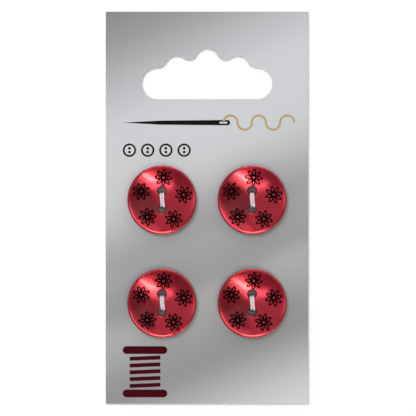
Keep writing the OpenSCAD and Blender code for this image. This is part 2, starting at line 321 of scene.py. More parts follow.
def maths(tree, operation, *values, kind="Math"):
    """Result of a Math or VectorMath node; None leaves one of its inputs out"""
    made = add(tree, "ShaderNode" + kind, {"operation": operation})
    for socket, value in zip(made.inputs, values):
        feed(tree, socket, value)
    return made.outputs["Value" if operation in ("LENGTH", "DOT_PRODUCT") else 0]


def scaled(tree, tone, factor):
    return maths(tree, "SCALE", tone, None, None, factor, kind="VectorMath")


def fade(tree, source, start, end, low=0.0, high=1.0):
    """Runs evenly from low at start to high at end, and stays level beyond them"""
    return add(
        tree, "ShaderNodeMapRange", Value=source, From_Min=start, From_Max=end, To_Min=low, To_Max=high
    ).outputs[0]


def noise(tree, place, **inputs):
    return add(tree, "ShaderNodeTexNoise", Vector=place, **inputs).outputs["Fac"]


def bumped(tree, height, strength, distance):
    bump = add(tree, "ShaderNodeBump", Height=height, Strength=strength, Distance=distance)
    return bump.outputs["Normal"]


def ramp(tree, source, stops, interpolation="LINEAR"):
    """Levels or colours at places from 0 to 1 of the source"""
    made = add(tree, "ShaderNodeValToRGB", Fac=source)
    made.color_ramp.interpolation = interpolation
    elements = made.color_ramp.elements
    while len(elements) < len(stops):
        elements.new(1)
    for element, (place, value) in zip(elements, stops):
        element.position = place
        element.color = (value, value, value, 1) if isinstance(value, float) else (*value, 1)
    return made.outputs["Color"]


def new_group(name, inputs, outputs):
    """A new shader group with its input and output nodes"""
    tree = bpy.data.node_groups.new(name, "ShaderNodeTree")
    for label, kind, default in inputs:
        socket = tree.interface.new_socket(label, in_out="INPUT", socket_type=kind)
        socket.default_value = default
    for label, kind in outputs:
        tree.interface.new_socket(label, in_out="OUTPUT", socket_type=kind)
    return tree, tree.nodes.new("NodeGroupInput"), tree.nodes.new("NodeGroupOutput")


def principled(name, **inputs):
    """A new material with its node tree and its Principled shader"""
    material = bpy.data.materials.new(name)
    material.use_nodes = True
    tree = material.node_tree
    shader = tree.nodes["Principled BSDF"]
    for key, value in inputs.items():
        feed(tree, shader.inputs[key.replace("_", " ")], value)
    return material, tree, shader


def paper_grain():
    """Fine tooth and faint clouding of coated board, for the card and the inks on it"""
    if PAPER_GRAIN in bpy.data.node_groups:
        return bpy.data.node_groups[PAPER_GRAIN]
    tree, given, out = new_group(
        PAPER_GRAIN,
        [
            ("Tone", "NodeSocketColor", (0.8, 0.8, 0.8, 1)),
            ("Amount", "NodeSocketFloat", 0.03),
            ("Scale", "NodeSocketFloat", 5200),
        ],
        [("Tone", "NodeSocketColor"), ("Height", "NodeSocketFloat")],
    )
    tooth_share, cloud_share = 0.7, 0.3
    place = add(tree, "ShaderNodeTexCoord").outputs["Object"]
    tooth = noise(tree, place, Scale=given.outputs["Scale"], Detail=3.0, Roughness=0.6)
    cloud = noise(tree, place, Scale=140, Detail=2.0)
    both = maths(tree, "MULTIPLY_ADD", tooth, tooth_share, maths(tree, "MULTIPLY", cloud, cloud_share))
    low = maths(tree, "SUBTRACT", 1, given.outputs["Amount"])
    high = maths(tree, "ADD", 1, given.outputs["Amount"])
    level = fade(tree, both, 0.25, 0.75, low, high)
    feed(tree, out.inputs["Tone"], scaled(tree, given.outputs["Tone"], level))
    feed(tree, out.inputs["Height"], tooth)
    return tree


def grained(name, tone, amount, rough, metal=0.0, scale=5200, bump=0.2, depth=0.004 * MM, gloss=0.5):
    """A material whose tone, tooth and roughness come from the paper grain"""
    material, tree, shader = principled(name, Metallic=metal, Specular_IOR_Level=gloss)
    grain = add(
        tree, "ShaderNodeGroup", {"node_tree": paper_grain(), "name": PAPER_GRAIN},
        Tone=(*tone, 1), Amount=amount, Scale=scale,
    )
    height = grain.outputs["Height"]
    swing = 0.05
    feed(tree, shader.inputs["Base Color"], grain.outputs["Tone"])
    feed(tree, shader.inputs["Normal"], bumped(tree, height, bump, depth))
    feed(tree, shader.inputs["Roughness"], fade(tree, height, 0, 1, rough - swing, rough + swing))
    return material


def grey(level):
    """Linear value of a screen grey from 0 to 255"""
    value = level / 255
    return value / 12.92 if value <= 0.04045 else ((value + 0.055) / 1.055) ** 2.4


# Painted sheen: light and dark bands, painted into the silver print's colour in place of the foil's
# reflection, that cross the card on a slant.
# Each pair is a place along the slant, from the upper left corner, and a screen grey.
PAINTED_SHEEN_DIRECTION = Vector((0.407, -0.914, 0))
PAINTED_SHEEN_BANDS = (
    (0.0, 136), (0.12, 173), (0.22, 205), (0.30, 212), (0.42, 203), (0.51, 168),
    (0.575, 160), (0.64, 153), (0.69, 167), (0.80, 140), (0.86, 152), (0.92, 180), (1.0, 201),
)


def from_holes(tree, spot, pitch, *folds):
    """Distance from the nearer of two holes, seen from above. Each fold is a middle that the
    place is mirrored about, so that one pair of holes stands for all."""
    for fold in folds:
        spot = maths(tree, "SUBTRACT", spot, fold, kind="VectorMath")
        spot = maths(tree, "ABSOLUTE", spot, kind="VectorMath")
    spot = maths(tree, "SUBTRACT", spot, (0, pitch / 2, 0), kind="VectorMath")
    flat = maths(tree, "MULTIPLY", spot, (1, 1, 0), kind="VectorMath")
    return maths(tree, "LENGTH", flat, kind="VectorMath")


def needle_hole_distance(tree, place, hole_pitch):
    """Distance on the card from the nearest place where the needle went through"""
    seats = [button_seat(name) for name in PLACES]
    middle = sum(seats, Vector()) / len(seats)
    upper_right = seats[1]
    return from_holes(tree, place, hole_pitch, middle, upper_right - middle)


def silver_print_with_painted_light(board, hole_pitch):
    """Silver ink with a painted sheen on a slant, and painted shade round the places where the needle
    went through
    """
    # Colour and reach of the painted shade round the needle holes
    hole_shade_colour, hole_shade_start, hole_shade_end = (0.36, 0.23, 0.21), 0.9 * MM, 1.7 * MM
    material = grained("Silver print with painted light", board.silver_tint, 0.022, board.silver_rough, board.silver_metal)
    tree = material.node_tree
    place = add(tree, "ShaderNodeTexCoord").outputs["Object"]
    along = maths(tree, "DOT_PRODUCT", place, PAINTED_SHEEN_DIRECTION, kind="VectorMath")
    start = PAINTED_SHEEN_DIRECTION.dot(Vector((CARD_LOW.x, CARD_HIGH.y, 0)))
    end = PAINTED_SHEEN_DIRECTION.dot(Vector((CARD_HIGH.x, CARD_LOW.y, 0)))
    bands = [(spot, grey(level)) for spot, level in PAINTED_SHEEN_BANDS]
    # Painted sheen: the bands are colour that stands in for the foil's reflection
    sheen = ramp(tree, fade(tree, along, start, end), bands, "CARDINAL")
    tinted = maths(tree, "MULTIPLY", sheen, board.silver_tint, kind="VectorMath")
    # Painted shade: the print is darkened round the needle holes under the buttons, where little light
    # reaches the card
    near = fade(tree, needle_hole_distance(tree, place, hole_pitch), hole_shade_start, hole_shade_end)
    hole_shade = ramp(tree, near, [(0.0, hole_shade_colour), (1.0, (1.0, 1.0, 1.0))])
    shaded_print = maths(tree, "MULTIPLY", tinted, hole_shade, kind="VectorMath")
    feed(tree, tree.nodes[PAPER_GRAIN].inputs["Tone"], shaded_print)
    return material


def pearl_resin(button, width):
    """Pearly red polyester: fine streaks that run round the button, under a clear gloss. The outer side
    of the rim and the drilled edges of the holes are duller, and painted shade dims their colour and so
    their reflections."""
    material, tree, shader = principled(
        "Pearl resin", Metallic=0.88, Anisotropic=0.5, Coat_Weight=0.6, Coat_Roughness=0.13
    )
    face = add(tree, "ShaderNodeUVMap", {"uv_map": "Face"}).outputs["UV"]
    around = add(tree, "ShaderNodeUVMap", {"uv_map": "Around"}).outputs["UV"]
    swirl = noise(tree, face, Scale=2.6, Detail=3.0, Roughness=0.45, Distortion=0.9)
    drawn_out = add(tree, "ShaderNodeMapping", Vector=around, Scale=(14, 9, 1)).outputs[0]
    streak = noise(tree, drawn_out, Scale=1.0, Detail=4.0, Roughness=0.6)
    streak_share = 0.12
    tones = ramp(
        tree, maths(tree, "MULTIPLY_ADD", streak, streak_share, swirl),
        [(0.36, tuple(button.shade)), (0.56, tuple(button.resin)), (0.8, tuple(button.pearl))],
    )

    outward = add(tree, "ShaderNodeSeparateXYZ", Vector=around).outputs["X"]
    rim, rim_shade, rim_rough = button.rim_radius, 0.5, 0.45
    rim_start, rim_end = ((width / 2 - rim + part * rim) / UV_SIZE for part in (0.1, 1 / 3))
    drilled = from_holes(tree, face, button.hole_pitch / UV_SIZE, (0.5, 0.5, 0))
    hole, edge, hole_edge_shade, edge_rough = button.hole_width / 2, button.hole_round, 0.4, 0.45
    edge_start, edge_end = ((hole + part * edge) / UV_SIZE for part in (0.4, 1.1))
    # Painted shade: the outer side of the rim and the drilled edges of the holes are darkened in
    # colour, which dims their reflections
    painted_shade = maths(
        tree, "MULTIPLY", fade(tree, outward, rim_start, rim_end, 1.0, rim_shade),
        fade(tree, drilled, edge_start, edge_end, hole_edge_shade, 1.0),
    )
    duller = maths(
        tree, "MAXIMUM", fade(tree, outward, rim_start, rim_end, 0.0, rim_rough),
        fade(tree, drilled, edge_start, edge_end, edge_rough, 0.0),
    )
    gloss = fade(tree, streak, 0.3, 0.7, 0.13, 0.19)
    tangent = add(tree, "ShaderNodeTangent", {"direction_type": "UV_MAP", "uv_map": "Around"})
    feed(tree, shader.inputs["Base Color"], scaled(tree, tones, painted_shade))
    feed(tree, shader.inputs["Roughness"], maths(tree, "MAXIMUM", gloss, duller))
    feed(tree, shader.inputs["Normal"], bumped(tree, streak, 0.04, 0.01 * MM))
    feed(tree, shader.inputs["Tangent"], tangent.outputs[0])
    return material


def spun_yarn(thread):
    """Matt polyester yarn with a soft sheen and fine fibres along the plies"""
    material, tree, shader = principled("Spun yarn", Sheen_Weight=0.4, Sheen_Roughness=0.4)
    place = add(tree, "ShaderNodeTexCoord").outputs["Object"]
    fibre = noise(tree, place, Scale=16000, Detail=3.0, Distortion=0.6)
    tuft = noise(tree, place, Scale=2400, Detail=2.0)
    yarn, shaded, lit, fibre_share = Vector(thread.yarn), 0.72, 1.12, 0.6
    tones = ramp(
        tree, maths(tree, "MULTIPLY_ADD", fibre, fibre_share, tuft),
        [(0.45, tuple(yarn * shaded)), (0.75, tuple(yarn)), (1.0, tuple(yarn * lit))],
    )
    feed(tree, shader.inputs["Base Color"], tones)
    feed(tree, shader.inputs["Roughness"], fade(tree, fibre, 0, 1, 0.5, 0.8))
    feed(tree, shader.inputs["Normal"], bumped(tree, fibre, 0.5, 0.02 * MM))
    return material


# Pieces


class BUTTONCARD_OT_board(bpy.types.Operator):
    """Makes the silver hanging card from the frame's card, with its cut edges broken"""

    bl_idname = "buttoncard.board"
    bl_label = "Hanging card"

    def execute(self, context):
        board = context.scene.button_card.board
        obj = frame["nodes"]["card"].copy()
        obj.data = obj.data.copy()
        obj.name = obj.data.name = "hanging_card"
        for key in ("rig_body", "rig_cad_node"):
            del obj[key]
        context.scene.collection.objects.link(obj)
        pick(obj)
        bpy.ops.object.mode_set(mode="EDIT")
        bpy.ops.mesh.select_all(action="SELECT")
        bpy.ops.mesh.remove_doubles(threshold=MERGE)
        bpy.ops.mesh.dissolve_limited(angle_limit=math.radians(1))
        bpy.ops.object.mode_set(mode="OBJECT")
        apply_modifier(
            obj, "BEVEL", width=board.edge_break, segments=1, limit_method="ANGLE",
            angle_limit=math.radians(40), use_clamp_overlap=False,
        )
        smooth(obj, 20)
        core = grained("Board core", board.core, 0.06, 0.85, scale=9000, bump=0.6, depth=0.02 * MM)
        back = grained("Board back", board.back, 0.05, 0.75, scale=6500, bump=0.35, depth=0.01 * MM)
        silver = silver_print_with_painted_light(board, context.scene.button_card.button.hole_pitch)
        dress(obj, "card", "board", silver, core, back)
        on_front, on_edge, on_back = range(3)
        for face in obj.data.polygons:
            if abs(face.normal.z) < 0.5:
                face.material_index = on_edge
            else:
                face.material_index = on_front if face.normal.z > 0 else on_back
        return {"FINISHED"}


def arc(centre, radius, start, end, steps):
    """Points along an arc, from one angle to another in degrees"""
    return [
        (
            centre[0] + radius * math.cos(math.radians(start + (end - start) * i / steps)),
            centre[1] + radius * math.sin(math.radians(start + (end - start) * i / steps)),
        )
        for i in range(steps + 1)
    ]


def button_profile(button, width):
    """From the middle of the face over the rim to the middle of the back"""
    face_steps, lip_steps, rim_steps, dome_steps = 52, 10, 24, 14
    back_rings = (0.985, 0.66, 0.33, 0)
    rim, dish, back = button.rim_radius, button.dish_radius, button.back_width / 2
    lip = button.lip_radius
    dish_z = button.bridge + dish
    rim_x = width / 2 - rim
    rim_z = dish_z - math.sqrt((dish + rim) ** 2 - rim_x ** 2) + button.rim_lift
    line = Vector((rim_x, rim_z - dish_z))
    foot = ((dish - lip) ** 2 - (rim + lip) ** 2 + line.length_squared) / (2 * line.length)
    rise = math.sqrt((dish - lip) ** 2 - foot ** 2)
    line.normalize()
    lip_x, lip_z = foot * line.x + rise * line.y, dish_z + foot * line.y - rise * line.x
    dish_end = math.degrees(math.atan2(lip_z - dish_z, lip_x))
    lip_end = math.degrees(math.atan2(rim_z - lip_z, rim_x - lip_x))
    total = rim_x ** 2 + rim_z ** 2 - back ** 2 - rim ** 2
    lead = 4 * (rim_z ** 2 - rim ** 2)
    rest = total ** 2 - (2 * rim * back) ** 2
    dome_z = (4 * rim_z * total + math.sqrt((4 * rim_z * total) ** 2 - 4 * lead * rest)) / (2 * lead)
    dome = math.hypot(back, dome_z)
    to_dome = math.degrees(math.atan2(dome_z - rim_z, -rim_x)) - 180
    back_angle = math.degrees(math.atan2(-dome_z, back))
    profile = [(0, button.bridge)]
    profile += arc((0, dish_z), dish, -90, dish_end, face_steps)[1:]
    profile += arc((lip_x, lip_z), lip, dish_end, lip_end, lip_steps)[1:]
    profile += arc((rim_x, rim_z), rim, lip_end + 180, to_dome, rim_steps)[1:]
    profile += arc((0, dome_z), dome, to_dome, back_angle, dome_steps)[1:]
    return profile + [(back * ring, 0) for ring in back_rings]


def hole_profile(button):
    """A hole's space, flared by a rounded edge where it meets both faces"""
    flare, steps, past = 82, 8, 0.6 * MM
    radius, edge = button.hole_width / 2, button.hole_round
    reach = button.hole_pitch / 2
    face = button.bridge + button.dish_radius - math.sqrt(button.dish_radius ** 2 - reach ** 2)
    lower = [(radius + edge - x, edge - z) for x, z in arc((0, 0), edge, flare, 0, steps)]
    upper = [(radius + edge - x, face - edge + z) for x, z in arc((0, 0), edge, 0, flare, steps)]
    start = [(0, -past), (lower[0][0], -past)]
    end = [(upper[-1][0], face + past), (0, face + past)]
    return start + lower + upper + end


def lay_out(obj):
    """Two UV maps: the button's face seen from above, and the way round it"""
    for name in [layer.name for layer in obj.data.uv_layers]:
        obj.data.uv_layers.remove(obj.data.uv_layers[name])
    around = obj.data.uv_layers.new(name="Around")
    face = obj.data.uv_layers.new(name="Face")
    for polygon in obj.data.polygons:
        middle = math.atan2(polygon.center.y, polygon.center.x)
        for loop in polygon.loop_indices:
            point = obj.data.vertices[obj.data.loops[loop].vertex_index].co
            angle = math.atan2(point.y, point.x) - middle
            angle = middle + math.atan2(math.sin(angle), math.cos(angle))
            face.data[loop].uv = (point.x / UV_SIZE + 0.5, point.y / UV_SIZE + 0.5)
            around.data[loop].uv = (math.hypot(point.x, point.y) / UV_SIZE, angle / math.tau)


class BUTTONCARD_OT_buttons(bpy.types.Operator):
    """Turns one pearl button, drills its two holes and sets a copy at each place"""

    bl_idname = "buttoncard.buttons"
    bl_label = "Buttons"

    def execute(self, context):
        button = context.scene.button_card.button
        low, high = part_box("button_upper_left")
        width = high.x - low.x
        master = turned("button_master", button_profile(button, width), steps=192)
        for side in (-1, 1):
            drill = turned("drill", hole_profile(button), steps=64)
            drill.data.transform(Matrix.Translation((0, side * button.hole_pitch / 2, 0)))
            apply_modifier(master, "BOOLEAN", operation="DIFFERENCE", solver="EXACT", object=drill)
            bpy.data.objects.remove(drill)
        lay_out(master)
        smooth(master, 40)
        material = pearl_resin(button, width)
        set_copies(context, master, "pearl_button_", "button_", "button_resin", material)
        return {"FINISHED"}


def leaf(start, end, half, blunt, steps):
    """One side of a petal's outline, widest a little past its middle, in finer steps at its ends"""
    skew = 1.25
    shares = [(1 - math.cos(math.pi * i / steps)) / 2 for i in range(1, steps)]
    side = [
        (start + (end - start) * t, half * math.sin(math.pi * t ** skew) ** blunt) for t in shares
    ]
    return [(start, 0.0)] + side + [(end, 0.0)]


def daisy_outlines(daisy):
    """A daisy's outer line, the bare middles of its petals and the bare dot, about its middle"""
    petal_start, petal_blunt, petal_steps = 0.25 * MM, 0.6, 20
    bare_start, bare_tip, bare_blunt, bare_steps = daisy.ring + 0.1 * MM, 1.2 * daisy.line, 0.8, 12
    dot_steps, sector_share, off_ring = 20, 0.97, 1.01
    step = math.tau / daisy.petals
    outer, bare = [], []

    def turned_by(points, angle):
        c, s = math.cos(angle), math.sin(angle)
        return [(x * c - y * s, x * s + y * c) for x, y in points]

    side = leaf(petal_start, daisy.reach, daisy.petal / 2, petal_blunt, petal_steps)
    side = [(x, min(y, sector_share * x * math.tan(step / 2))) for x, y in side]
    side = [(x, y) for x, y in side if math.hypot(x, y) > daisy.ring * off_ring]
    bare_half = daisy.petal / 2 - daisy.line
    inner = leaf(bare_start, daisy.reach - bare_tip, bare_half, bare_blunt, bare_steps)
    for k in range(daisy.petals):
        outer += turned_by([(daisy.ring, 0)], (k - 0.5) * step)
        outer += turned_by([(x, -y) for x, y in side] + side[-2::-1], k * step)
        bare.append(turned_by([(x, -y) for x, y in inner] + inner[-2:0:-1], k * step))
    dot = [turned_by([(daisy.dot, 0)], math.tau * i / dot_steps)[0] for i in range(dot_steps)]
    return outer, bare + [dot]


def off_hole(button, spot, margin):
    """The spot itself, or the nearest one that is clear of the hole beside it"""
    clear = button.hole_width / 2 + button.hole_round + margin
    hole = Vector((0, math.copysign(button.hole_pitch / 2, spot.y), 0))
    away = spot - hole
    return spot if away.length >= clear else hole + away.normalized() * clear


class BUTTONCARD_OT_daisies(bpy.types.Operator):
    """Prints a ring of daisies on each button's hollow face"""

    bl_idname = "buttoncard.daisies"
    bl_label = "Daisies"

    def execute(self, context):
        daisy = context.scene.button_card.daisy
        button = context.scene.button_card.button
        line_margin, sunk = 0.2 * MM, 0.002 * MM
        curve = bpy.data.curves.new("daisy_ring", "CURVE")
        curve.dimensions = "2D"
        curve.fill_mode = "BOTH"
        curve.extrude = daisy.thickness / 2
        outer, bare = daisy_outlines(daisy)
        outlines = [(outer, 0)] + [(outline, line_margin) for outline in bare]
        for k in range(daisy.count):
            place = Matrix.Rotation(daisy.turn + math.tau * k / daisy.count, 3, "Z")
            for outline, margin in outlines:
                spline = curve.splines.new("POLY")
                spline.points.add(len(outline) - 1)
                spline.use_cyclic_u = True
                for point, (x, y) in zip(spline.points, outline):
                    spot = place @ Vector((daisy.orbit + x, y, 0))
                    point.co = (*off_hole(button, spot, margin), 1)
        master = bpy.data.objects.new("daisy_ring", curve)
        context.scene.collection.objects.link(master)
        pick(master)
        bpy.ops.object.convert(target="MESH")
        master = context.object
        bpy.ops.object.mode_set(mode="EDIT")
        bpy.ops.mesh.select_all(action="SELECT")
        bpy.ops.mesh.remove_doubles(threshold=MERGE)
        bpy.ops.mesh.normals_make_consistent(inside=False)
        bpy.ops.object.mode_set(mode="OBJECT")
        for vert in master.data.vertices:
            flat = vert.co.x ** 2 + vert.co.y ** 2
            face = button.bridge + button.dish_radius - math.sqrt(button.dish_radius ** 2 - flat)
            vert.co.z += face + daisy.thickness / 2 - sunk
        smooth(master, 30)
        ink = grained("Daisy ink", daisy.colour, 0.25, 0.6, scale=9000, bump=0.1, gloss=0.015)
        set_copies(context, master, "daisy_print_", "daisies_", "daisy_ink", ink)
        return {"FINISHED"}


def bezier_corner(before, corner, after, radius, steps=8):
    """A bend that starts a radius away from its corner, or nearly halfway along a shorter leg"""
    nearly_half = 0.45
    back, ahead = before - corner, after - corner
    start = corner + back.normalized() * min(radius, nearly_half * back.length)
    end = corner + ahead.normalized() * min(radius, nearly_half * ahead.length)
    points = []
    for i in range(steps + 1):
        t = i / steps
        points.append((1 - t) ** 2 * start + 2 * t * (1 - t) * corner + t * t * end)
    return points


def rounded(corners, radius):
    """A path from corner to corner with its bends rounded"""
    path = [corners[0]]
    for before, corner, after in zip(corners, corners[1:], corners[2:]):
        path += bezier_corner(before, corner, after, radius)
    return path + [corners[-1]]


def walked(path, step):
    """The same path in even steps"""
    points, left = [path[0]], step
    for a, b in zip(path, path[1:]):
        gap, gone = (b - a).length, 0.0
        while gap - gone >= left:
            gone += left
            points.append(a.lerp(b, gone / gap))
            left = step
        left -= gap - gone
    if (points[-1] - path[-1]).length > step / 4:
        points.append(path[-1])
    return points


def stitch_routes(button, thread):
    """Centre lines of the two stitches, in a button's own frame with heights from the table"""
    play, knot_y = 0.02 * MM, 0.3 * MM
    d = thread.width
    reach = button.hole_width / 2 - d / 2 - play
    front, back = CARD_HIGH.z, CARD_LOW.z
    over, under = front + button.bridge + d / 2 + 2 * play, back - d / 2 - play
    # Sideways place of the left strand at the lower hole, midway and at the upper hole
    lean = (-0.08 * d, -0.42 * d, -0.52 * d)

    def hole_y(x):
        return button.hole_pitch / 2 - math.sqrt(reach * reach - x * x)

    routes = []
    for side, shift in ((-1, 0), (1, d + play)):
        x = side * (d / 2 + play / 2)
        y = hole_y(x)
        low, middle, high = (place + shift for place in lean)
        routes.append([
            Vector((x, -knot_y, under)), Vector((x, -y, under)), Vector((x, -y, front)),
            Vector((low, -hole_y(low), over)), Vector((middle, 0, over)),
            Vector((high, hole_y(high), over)), Vector((x, y, front)), Vector((x, y, under)),
            Vector((x, knot_y, under)),
        ])
    return [rounded(route, thread.bend) for route in routes], under


def knot_route():
    """An overhand knot that is pulled tight against the card's back"""
    flat, rise, middle, steps = 0.115 * MM, 0.24 * MM, 0.49 * MM, 72
    points = []
    for i in range(steps + 1):
        t = math.tau * i / steps
        points.append(Vector((
            flat * (math.sin(t) + 2 * math.sin(2 * t)),
            flat * (math.cos(t) - 2 * math.cos(2 * t)),
            middle - rise * math.sin(3 * t),
        )))
    return points


def tail_route(thread, under, side):
    """A cut end: each corner is a share of its length outwards, and how far it drifts and rises"""
    start, bend = 0.4 * MM, 0.6 * MM
    corners = [(0.0, 0.0, -0.02 * MM), (0.3, 0.4 * MM, 0.0), (0.7, 1.0 * MM, 0.0), (1.0, 1.2 * MM, 0.0)]
    return rounded(
        [
            Vector((side * (start + part * thread.tail), -side * drift, under + rise))
            for part, drift, rise in corners
        ],
        bend,
    )


# Radius of the bevel and steps along the paths that the yarns are made with, and the waves in a
# yarn's thickness: share of the thickness, turn for each step and turn for each yarn
YARN_RADIUS = 0.16 * MM
YARN_STEP = 0.075 * MM
SLUBS = ((0.05, 1.9, 2), (0.04, 0.63, 1))


def add_plies(curve, path, width, thread, seat, fray=False):
    """Yarns that twist round each other along a path, splayed at its end where it is cut"""
    ply_share, splay_most, splay_length = 0.52, 0.9, 0.7 * MM
    points = walked(path, YARN_STEP)
    ply = width / 2 * ply_share
    offset = width / 2 - ply
    side = Vector((1, 0, 0))
    frames = []
    for i, point in enumerate(points):
        ahead = (points[min(i + 1, len(points) - 1)] - points[max(i - 1, 0)]).normalized()
        side = side - side.dot(ahead) * ahead
        side = side.normalized() if side.length > 1e-9 else ahead.orthogonal().normalized()
        frames.append((point, side, ahead.cross(side)))
    for k in range(thread.plies):
        spline = curve.splines.new("POLY")
        spline.points.add(len(frames) - 1)
        for i, (point, across, up) in enumerate(frames):
            turn = math.tau * (i * YARN_STEP / thread.lay + k / thread.plies)
            left = (len(frames) - 1 - i) * YARN_STEP
            splay = 1 + splay_most * max(0.0, 1 - left / splay_length) if fray else 1
            spot = seat + point + offset * splay * (math.cos(turn) * across + math.sin(turn) * up)
            slub = 1 + sum(swell * math.sin(pace * i + lag * k) for swell, pace, lag in SLUBS)
            spline.points[i].co = (*spot, 1)
            spline.points[i].radius = ply / YARN_RADIUS * slub


def add_fuzz(curve, path, width, seat):
    """Fine fibres that stand off a strand where it crosses the bridge"""
    fibres, spacing, above_card = 34, 0.1 * MM, 1.2 * MM
    root_share, thick, thin = 0.42, 0.085, 0.045
    shortest, spread = 0.10 * MM, 0.12 * MM
    top = [point for point in walked(path, spacing) if point.z > CARD_HIGH.z + above_card]
    golden = math.pi * (3 - math.sqrt(5))
    for i in range(fibres):
        root = top[(7 * i) % len(top)]
        turn = golden * i
        out = Vector((math.cos(turn), 0.45 * math.sin(3 * turn), abs(math.sin(turn)))).normalized()
        reach = shortest + spread * ((i * 5) % 7) / 6
        bend = Vector((0.3 * math.sin(2.3 * i), math.cos(1.7 * i), 0.1)) * reach
        start = seat + root + out * width * root_share
        spline = curve.splines.new("POLY")
        spline.points.add(3)
        for k, point in enumerate(spline.points):
            t = k / 3
            point.co = (*(start + t * reach * out + t * t * bend), 1)
            point.radius = thick + (thin - thick) * t


class BUTTONCARD_OT_threads(bpy.types.Operator):
    """Sews each button on with a double strand that is knotted on the card's back"""

    bl_idname = "buttoncard.threads"
    bl_label = "Sewing threads"

    def execute(self, context):
        settings = context.scene.button_card
        thread = settings.thread
        knot_width, tail_width = 0.5 * MM, 0.9 * thread.width
        routes, under = stitch_routes(settings.button, thread)
        material = spun_yarn(thread)
        for place in PLACES:
            seat = button_seat(place)
            seat.z = 0
            curve = bpy.data.curves.new("sewing_thread_" + place, "CURVE")
            curve.dimensions = "3D"
            curve.bevel_depth = YARN_RADIUS
            curve.bevel_resolution = 1
            curve.use_fill_caps = True
            for route in routes:
                add_plies(curve, route, thread.width, thread, seat)
                add_fuzz(curve, route, thread.width, seat)
            add_plies(curve, knot_route(), knot_width, thread, seat)
            for side in (-1, 1):
                add_plies(curve, tail_route(thread, under, side), tail_width, thread, seat, fray=True)
            obj = bpy.data.objects.new(curve.name, curve)
            context.scene.collection.objects.link(obj)
            pick(obj)
            bpy.ops.object.convert(target="MESH")
            obj = context.object
            smooth(obj, 60)
            dress(obj, "thread_" + place, "thread", material)
        return {"FINISHED"}


class BUTTONCARD_OT_inks(bpy.types.Operator):
    """Gives the card's printed motifs their inks"""

    bl_idname = "buttoncard.inks"
    bl_label = "Inks"

    def execute(self, context):
        ink = context.scene.button_card.ink
        dark = grained("Dark ink", ink.dark, 0.2, 0.55, gloss=0.06)
        gold = grained("Gold ink", ink.gold, 0.12, 0.45, metal=0.4, gloss=0.3)
        maroon = grained("Maroon foil", ink.maroon, 0.15, 0.4, metal=0.3, gloss=0.03)
        for node, material in (
            ("printed_needle", dark), ("printed_small_buttons", dark),
            ("printed_thread", gold), ("printed_spool", maroon),
        ):
            materials = frame["nodes"][node].data.materials
            materials.clear()
            materials.append(material)
        return {"FINISHED"}


# Stage


# Panes in the ceiling that only the glossy surfaces mirror. Places and sizes are shares of the
# ceiling's height, as seen from the card: middle, width and depth, turn in degrees, level, colour.
WHITE, WARM = (1.0, 1.0, 1.0), (1.0, 0.98, 0.72)
PANES = (
    ("front_strip", (-0.03, -0.235), (0.36, 0.12), 0, 3.0, WHITE),
    ("front_window", (0.243, -0.317), (0.44, 0.09), -42, 1.2, WHITE),
    ("window_core", (0.19, -0.352), (0.49, 0.10), -30, 19.0, WARM),
    ("hot_spot", (0.345, -0.425), (0.10, 0.08), -30, 42.0, WARM),
    ("middle_pane", (-0.21, 0.15), (0.58, 0.70), 0, 0.42, WHITE),
    ("left_pane", (-0.45, 0.2), (0.4, 0.5), 0, 0.7, WHITE),
    ("top_window", (0.06, 1.15), (0.8, 0.8), 0, 10.5, WARM),
    ("top_right_window", (0.75, 0.62), (1.0, 0.8), -50, 2.8, WHITE),
    ("left_window", (-1.1, 0.0), (0.8, 0.45), 0, 1.6, WHITE),
    ("side_haze", (0.325, 0.156), (0.50, 0.30), 25, 0.42, (0.08, 1.0, 0.64)),
    ("lower_glow", (0.245, 0.405), (0.50, 0.13), -32, 1.5, (0.66, 0.8, 0.65)),
)
# Where the camera looks straight down on the card
CAMERA_PLACE = (0.000244, -0.000074)


def lamp(name, place, facing, level, shape, size, mirrored, tint=WHITE):
    """An area lamp whose level is the screen brightness that a mirror shows, with 1 as white.
    Either the glossy surfaces mirror it, or it lights the rest."""
    width, height = size
    data = bpy.data.lights.new(name, "AREA")
    data.shape = shape
    data.size = width
    data.size_y = height
    data.energy = level * math.pi * width * height * (math.pi / 4 if shape == "DISK" else 1)
    data.color = tint
    obj = bpy.data.objects.new(name, data)
    bpy.context.scene.collection.objects.link(obj)
    obj.location = place
    obj.rotation_euler = facing
    obj.visible_glossy = mirrored
    obj.visible_diffuse = not mirrored


def sky_lamp(name, azimuth, tilt, distance, **settings):
    """A lamp that faces the card from an azimuth from +X and a tilt from straight up, in degrees"""
    azimuth, tilt = math.radians(azimuth), math.radians(tilt)
    place = distance * Vector((
        math.sin(tilt) * math.cos(azimuth), math.sin(tilt) * math.sin(azimuth), math.cos(tilt)
    ))
    lamp(name, place, (-place).to_track_quat("-Z", "Y").to_euler(), **settings)


def light_tent(stage):
    """World of pale walls with a dark opening overhead"""
    world = bpy.data.worlds.new("Light tent")
    world.use_nodes = True
    tree = world.node_tree
    direction = add(tree, "ShaderNodeTexCoord").outputs["Generated"]
    upward = maths(tree, "DOT_PRODUCT", direction, (0, 0, 1), kind="VectorMath")
    soft, skirting_edge, wall_edge = math.radians(6), math.radians(80), math.radians(66)
    tilts = (
        (skirting_edge, stage.skirting), (wall_edge, stage.tent),
        (stage.opening_edge + soft, stage.tent), (stage.opening_edge - soft, stage.opening),
    )
    walls = ramp(tree, upward, [(math.cos(tilt), level) for tilt, level in tilts], "EASE")
    camera = add(tree, "ShaderNodeLightPath").outputs["Is Camera Ray"]
    background = tree.nodes["Background"]
    feed(tree, background.inputs["Color"], (1, 1, 1, 1))
    feed(tree, background.inputs["Strength"], maths(tree, "MAXIMUM", walls, camera))
    return world


